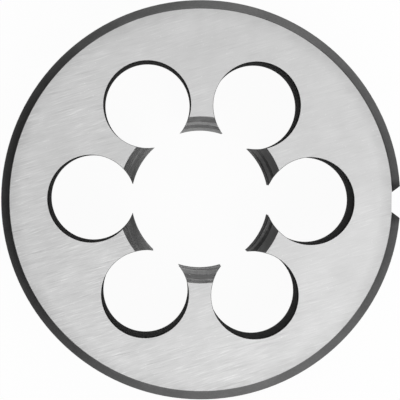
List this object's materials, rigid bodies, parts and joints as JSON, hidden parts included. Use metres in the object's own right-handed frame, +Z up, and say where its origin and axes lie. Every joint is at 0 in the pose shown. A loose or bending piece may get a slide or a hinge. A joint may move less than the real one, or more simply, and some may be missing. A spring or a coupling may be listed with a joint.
{
  "type": "round threading die",
  "caption": "Round steel die that cuts an external screw thread on a rod, with toothed lands round its bore, chip clearance holes and a setting notch in the rim.",
  "frame": {"origin": "centre of the back end face, on the thread axis", "axes": "+Z up along the thread axis towards the front face, +X towards the setting notch in the rim"},
  "size_m": [0.0549, 0.055, 0.022],
  "materials": {
    "tool_steel": "ground faces with fine straight grinding lines, darker turned chamfers, dark bore and hole walls"
  },
  "bodies": {
    "root": {"threading_die": "tool_steel"}
  },
  "joints": []
}
